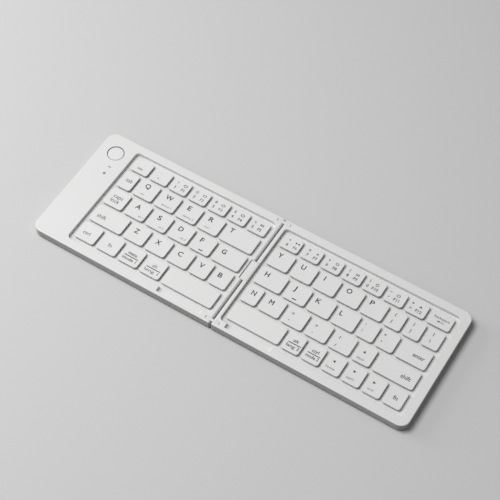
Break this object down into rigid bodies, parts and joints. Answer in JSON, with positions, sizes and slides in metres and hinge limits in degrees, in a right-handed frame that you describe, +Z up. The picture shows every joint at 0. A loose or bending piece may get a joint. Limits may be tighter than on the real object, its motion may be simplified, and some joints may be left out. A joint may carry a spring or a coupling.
{
  "type": "folding keyboard",
  "caption": "Slim two-half folding keyboard lying open, low keys in two wells, wide left bezel with a round power button, double-axle centre hinge.",
  "frame": {"origin": "bottom centre of the open keyboard, on the table under the feet", "axes": "+X from the left half to the right half, +Y to the back edge, +Z up"},
  "size_m": [0.292, 0.0984, 0.0075],
  "materials": {
    "shell_white": "fine satin white",
    "keycap_white": "fine satin white",
    "steel": "satin",
    "plate_aluminium": "satin",
    "rubber_grey": "matt",
    "link_plastic": "natural plastic",
    "membrane_film": "printed film",
    "board_green": "solder mask",
    "battery_foil": "foil pouch",
    "lens_grey": "smoked light guide",
    "flex_film": "amber film"
  },
  "bodies": {
    "left_half": {"left_top_frame": "shell_white", "left_bottom_cover": "shell_white", "left_key_bed": "shell_white", "left_dome_sheet": "rubber_grey", "left_membrane": "membrane_film", "left_back_plate": "plate_aluminium", "left_scissor_links": "link_plastic", "left_feet": "rubber_grey", "left_screws": "steel", "left_hinge_axle": "steel", "main_board": "board_green", "battery": "battery_foil", "usb_port": "steel", "indicator_lenses": "lens_grey"},
    "right_half": {"right_top_frame": "shell_white", "right_bottom_cover": "shell_white", "right_key_bed": "shell_white", "right_dome_sheet": "rubber_grey", "right_membrane": "membrane_film", "right_back_plate": "plate_aluminium", "right_scissor_links": "link_plastic", "right_feet": "rubber_grey", "right_screws": "steel", "right_hinge_axle": "steel"},
    "hinge_link": {"hinge_end_links": "shell_white", "hinge_cover": "shell_white", "hinge_flex_cable": "flex_film"},
    "power_button": {"power_button": "keycap_white"},
    "left_number_keys": {"left_number_keys": "keycap_white"},
    "left_side_keys": {"left_side_keys": "keycap_white"},
    "left_space_bar": {"left_space_bar": "keycap_white"},
    "key_q": {"key_q": "keycap_white"},
    "key_w": {"key_w": "keycap_white"},
    "key_e": {"key_e": "keycap_white"},
    "key_r": {"key_r": "keycap_white"},
    "key_t": {"key_t": "keycap_white"},
    "key_a": {"key_a": "keycap_white"},
    "key_s": {"key_s": "keycap_white"},
    "key_d": {"key_d": "keycap_white"},
    "key_f": {"key_f": "keycap_white"},
    "key_g": {"key_g": "keycap_white"},
    "key_z": {"key_z": "keycap_white"},
    "key_x": {"key_x": "keycap_white"},
    "key_c": {"key_c": "keycap_white"},
    "key_v": {"key_v": "keycap_white"},
    "key_b": {"key_b": "keycap_white"},
    "right_number_keys": {"right_number_keys": "keycap_white"},
    "right_side_keys": {"right_side_keys": "keycap_white"},
    "right_space_bar": {"right_space_bar": "keycap_white"},
    "key_y": {"key_y": "keycap_white"},
    "key_u": {"key_u": "keycap_white"},
    "key_i": {"key_i": "keycap_white"},
    "key_o": {"key_o": "keycap_white"},
    "key_p": {"key_p": "keycap_white"},
    "key_h": {"key_h": "keycap_white"},
    "key_j": {"key_j": "keycap_white"},
    "key_k": {"key_k": "keycap_white"},
    "key_l": {"key_l": "keycap_white"},
    "key_n": {"key_n": "keycap_white"},
    "key_m": {"key_m": "keycap_white"}
  },
  "joints": [
    {"name": "fold_left", "type": "hinge", "parent": "left_half", "child": "hinge_link", "pos_m": [-0.0021, 0, 0.00596], "axis": [0, -1, 0], "range_deg": [0, 90], "deforming": ["hinge_flex_cable"]},
    {"name": "fold_right", "type": "hinge", "parent": "hinge_link", "child": "right_half", "pos_m": [0.0021, 0, 0.00596], "axis": [0, -1, 0], "range_deg": [0, 90]},
    {"name": "power_press", "type": "slide", "parent": "left_half", "child": "power_button", "axis": [0, 0, -1], "range_m": [0, 0.0004], "stiffness_N_per_m": 1500, "springref_m": -0.0004},
    {"name": "left_number_keys_press", "type": "slide", "parent": "left_half", "child": "left_number_keys", "axis": [0, 0, -1], "range_m": [0, 0.00085], "stiffness_N_per_m": 2800, "springref_m": -0.0008, "deforming": ["left_scissor_links", "left_dome_sheet"]},
    {"name": "left_side_keys_press", "type": "slide", "parent": "left_half", "child": "left_side_keys", "axis": [0, 0, -1], "range_m": [0, 0.00085], "stiffness_N_per_m": 2800, "springref_m": -0.0008},
    {"name": "left_space_bar_press", "type": "slide", "parent": "left_half", "child": "left_space_bar", "axis": [0, 0, -1], "range_m": [0, 0.00085], "stiffness_N_per_m": 400, "springref_m": -0.0008},
    {"name": "key_q_press", "type": "slide", "parent": "left_half", "child": "key_q", "axis": [0, 0, -1], "range_m": [0, 0.00085], "stiffness_N_per_m": 400, "springref_m": -0.0008},
    {"name": "key_w_press", "type": "slide", "parent": "left_half", "child": "key_w", "axis": [0, 0, -1], "range_m": [0, 0.00085], "stiffness_N_per_m": 400, "springref_m": -0.0008},
    {"name": "key_e_press", "type": "slide", "parent": "left_half", "child": "key_e", "axis": [0, 0, -1], "range_m": [0, 0.00085], "stiffness_N_per_m": 400, "springref_m": -0.0008},
    {"name": "key_r_press", "type": "slide", "parent": "left_half", "child": "key_r", "axis": [0, 0, -1], "range_m": [0, 0.00085], "stiffness_N_per_m": 400, "springref_m": -0.0008},
    {"name": "key_t_press", "type": "slide", "parent": "left_half", "child": "key_t", "axis": [0, 0, -1], "range_m": [0, 0.00085], "stiffness_N_per_m": 400, "springref_m": -0.0008},
    {"name": "key_a_press", "type": "slide", "parent": "left_half", "child": "key_a", "axis": [0, 0, -1], "range_m": [0, 0.00085], "stiffness_N_per_m": 400, "springref_m": -0.0008},
    {"name": "key_s_press", "type": "slide", "parent": "left_half", "child": "key_s", "axis": [0, 0, -1], "range_m": [0, 0.00085], "stiffness_N_per_m": 400, "springref_m": -0.0008},
    {"name": "key_d_press", "type": "slide", "parent": "left_half", "child": "key_d", "axis": [0, 0, -1], "range_m": [0, 0.00085], "stiffness_N_per_m": 400, "springref_m": -0.0008},
    {"name": "key_f_press", "type": "slide", "parent": "left_half", "child": "key_f", "axis": [0, 0, -1], "range_m": [0, 0.00085], "stiffness_N_per_m": 400, "springref_m": -0.0008},
    {"name": "key_g_press", "type": "slide", "parent": "left_half", "child": "key_g", "axis": [0, 0, -1], "range_m": [0, 0.00085], "stiffness_N_per_m": 400, "springref_m": -0.0008},
    {"name": "key_z_press", "type": "slide", "parent": "left_half", "child": "key_z", "axis": [0, 0, -1], "range_m": [0, 0.00085], "stiffness_N_per_m": 400, "springref_m": -0.0008},
    {"name": "key_x_press", "type": "slide", "parent": "left_half", "child": "key_x", "axis": [0, 0, -1], "range_m": [0, 0.00085], "stiffness_N_per_m": 400, "springref_m": -0.0008},
    {"name": "key_c_press", "type": "slide", "parent": "left_half", "child": "key_c", "axis": [0, 0, -1], "range_m": [0, 0.00085], "stiffness_N_per_m": 400, "springref_m": -0.0008},
    {"name": "key_v_press", "type": "slide", "parent": "left_half", "child": "key_v", "axis": [0, 0, -1], "range_m": [0, 0.00085], "stiffness_N_per_m": 400, "springref_m": -0.0008},
    {"name": "key_b_press", "type": "slide", "parent": "left_half", "child": "key_b", "axis": [0, 0, -1], "range_m": [0, 0.00085], "stiffness_N_per_m": 400, "springref_m": -0.0008},
    {"name": "right_number_keys_press", "type": "slide", "parent": "right_half", "child": "right_number_keys", "axis": [0, 0, -1], "range_m": [0, 0.00085], "stiffness_N_per_m": 3200, "springref_m": -0.0008, "deforming": ["right_scissor_links", "right_dome_sheet"]},
    {"name": "right_side_keys_press", "type": "slide", "parent": "right_half", "child": "right_side_keys", "axis": [0, 0, -1], "range_m": [0, 0.00085], "stiffness_N_per_m": 6800, "springref_m": -0.0008},
    {"name": "right_space_bar_press", "type": "slide", "parent": "right_half", "child": "right_space_bar", "axis": [0, 0, -1], "range_m": [0, 0.00085], "stiffness_N_per_m": 400, "springref_m": -0.0008},
    {"name": "key_y_press", "type": "slide", "parent": "right_half", "child": "key_y", "axis": [0, 0, -1], "range_m": [0, 0.00085], "stiffness_N_per_m": 400, "springref_m": -0.0008},
    {"name": "key_u_press", "type": "slide", "parent": "right_half", "child": "key_u", "axis": [0, 0, -1], "range_m": [0, 0.00085], "stiffness_N_per_m": 400, "springref_m": -0.0008},
    {"name": "key_i_press", "type": "slide", "parent": "right_half", "child": "key_i", "axis": [0, 0, -1], "range_m": [0, 0.00085], "stiffness_N_per_m": 400, "springref_m": -0.0008},
    {"name": "key_o_press", "type": "slide", "parent": "right_half", "child": "key_o", "axis": [0, 0, -1], "range_m": [0, 0.00085], "stiffness_N_per_m": 400, "springref_m": -0.0008},
    {"name": "key_p_press", "type": "slide", "parent": "right_half", "child": "key_p", "axis": [0, 0, -1], "range_m": [0, 0.00085], "stiffness_N_per_m": 400, "springref_m": -0.0008},
    {"name": "key_h_press", "type": "slide", "parent": "right_half", "child": "key_h", "axis": [0, 0, -1], "range_m": [0, 0.00085], "stiffness_N_per_m": 400, "springref_m": -0.0008},
    {"name": "key_j_press", "type": "slide", "parent": "right_half", "child": "key_j", "axis": [0, 0, -1], "range_m": [0, 0.00085], "stiffness_N_per_m": 400, "springref_m": -0.0008},
    {"name": "key_k_press", "type": "slide", "parent": "right_half", "child": "key_k", "axis": [0, 0, -1], "range_m": [0, 0.00085], "stiffness_N_per_m": 400, "springref_m": -0.0008},
    {"name": "key_l_press", "type": "slide", "parent": "right_half", "child": "key_l", "axis": [0, 0, -1], "range_m": [0, 0.00085], "stiffness_N_per_m": 400, "springref_m": -0.0008},
    {"name": "key_n_press", "type": "slide", "parent": "right_half", "child": "key_n", "axis": [0, 0, -1], "range_m": [0, 0.00085], "stiffness_N_per_m": 400, "springref_m": -0.0008},
    {"name": "key_m_press", "type": "slide", "parent": "right_half", "child": "key_m", "axis": [0, 0, -1], "range_m": [0, 0.00085], "stiffness_N_per_m": 400, "springref_m": -0.0008}
  ]
}
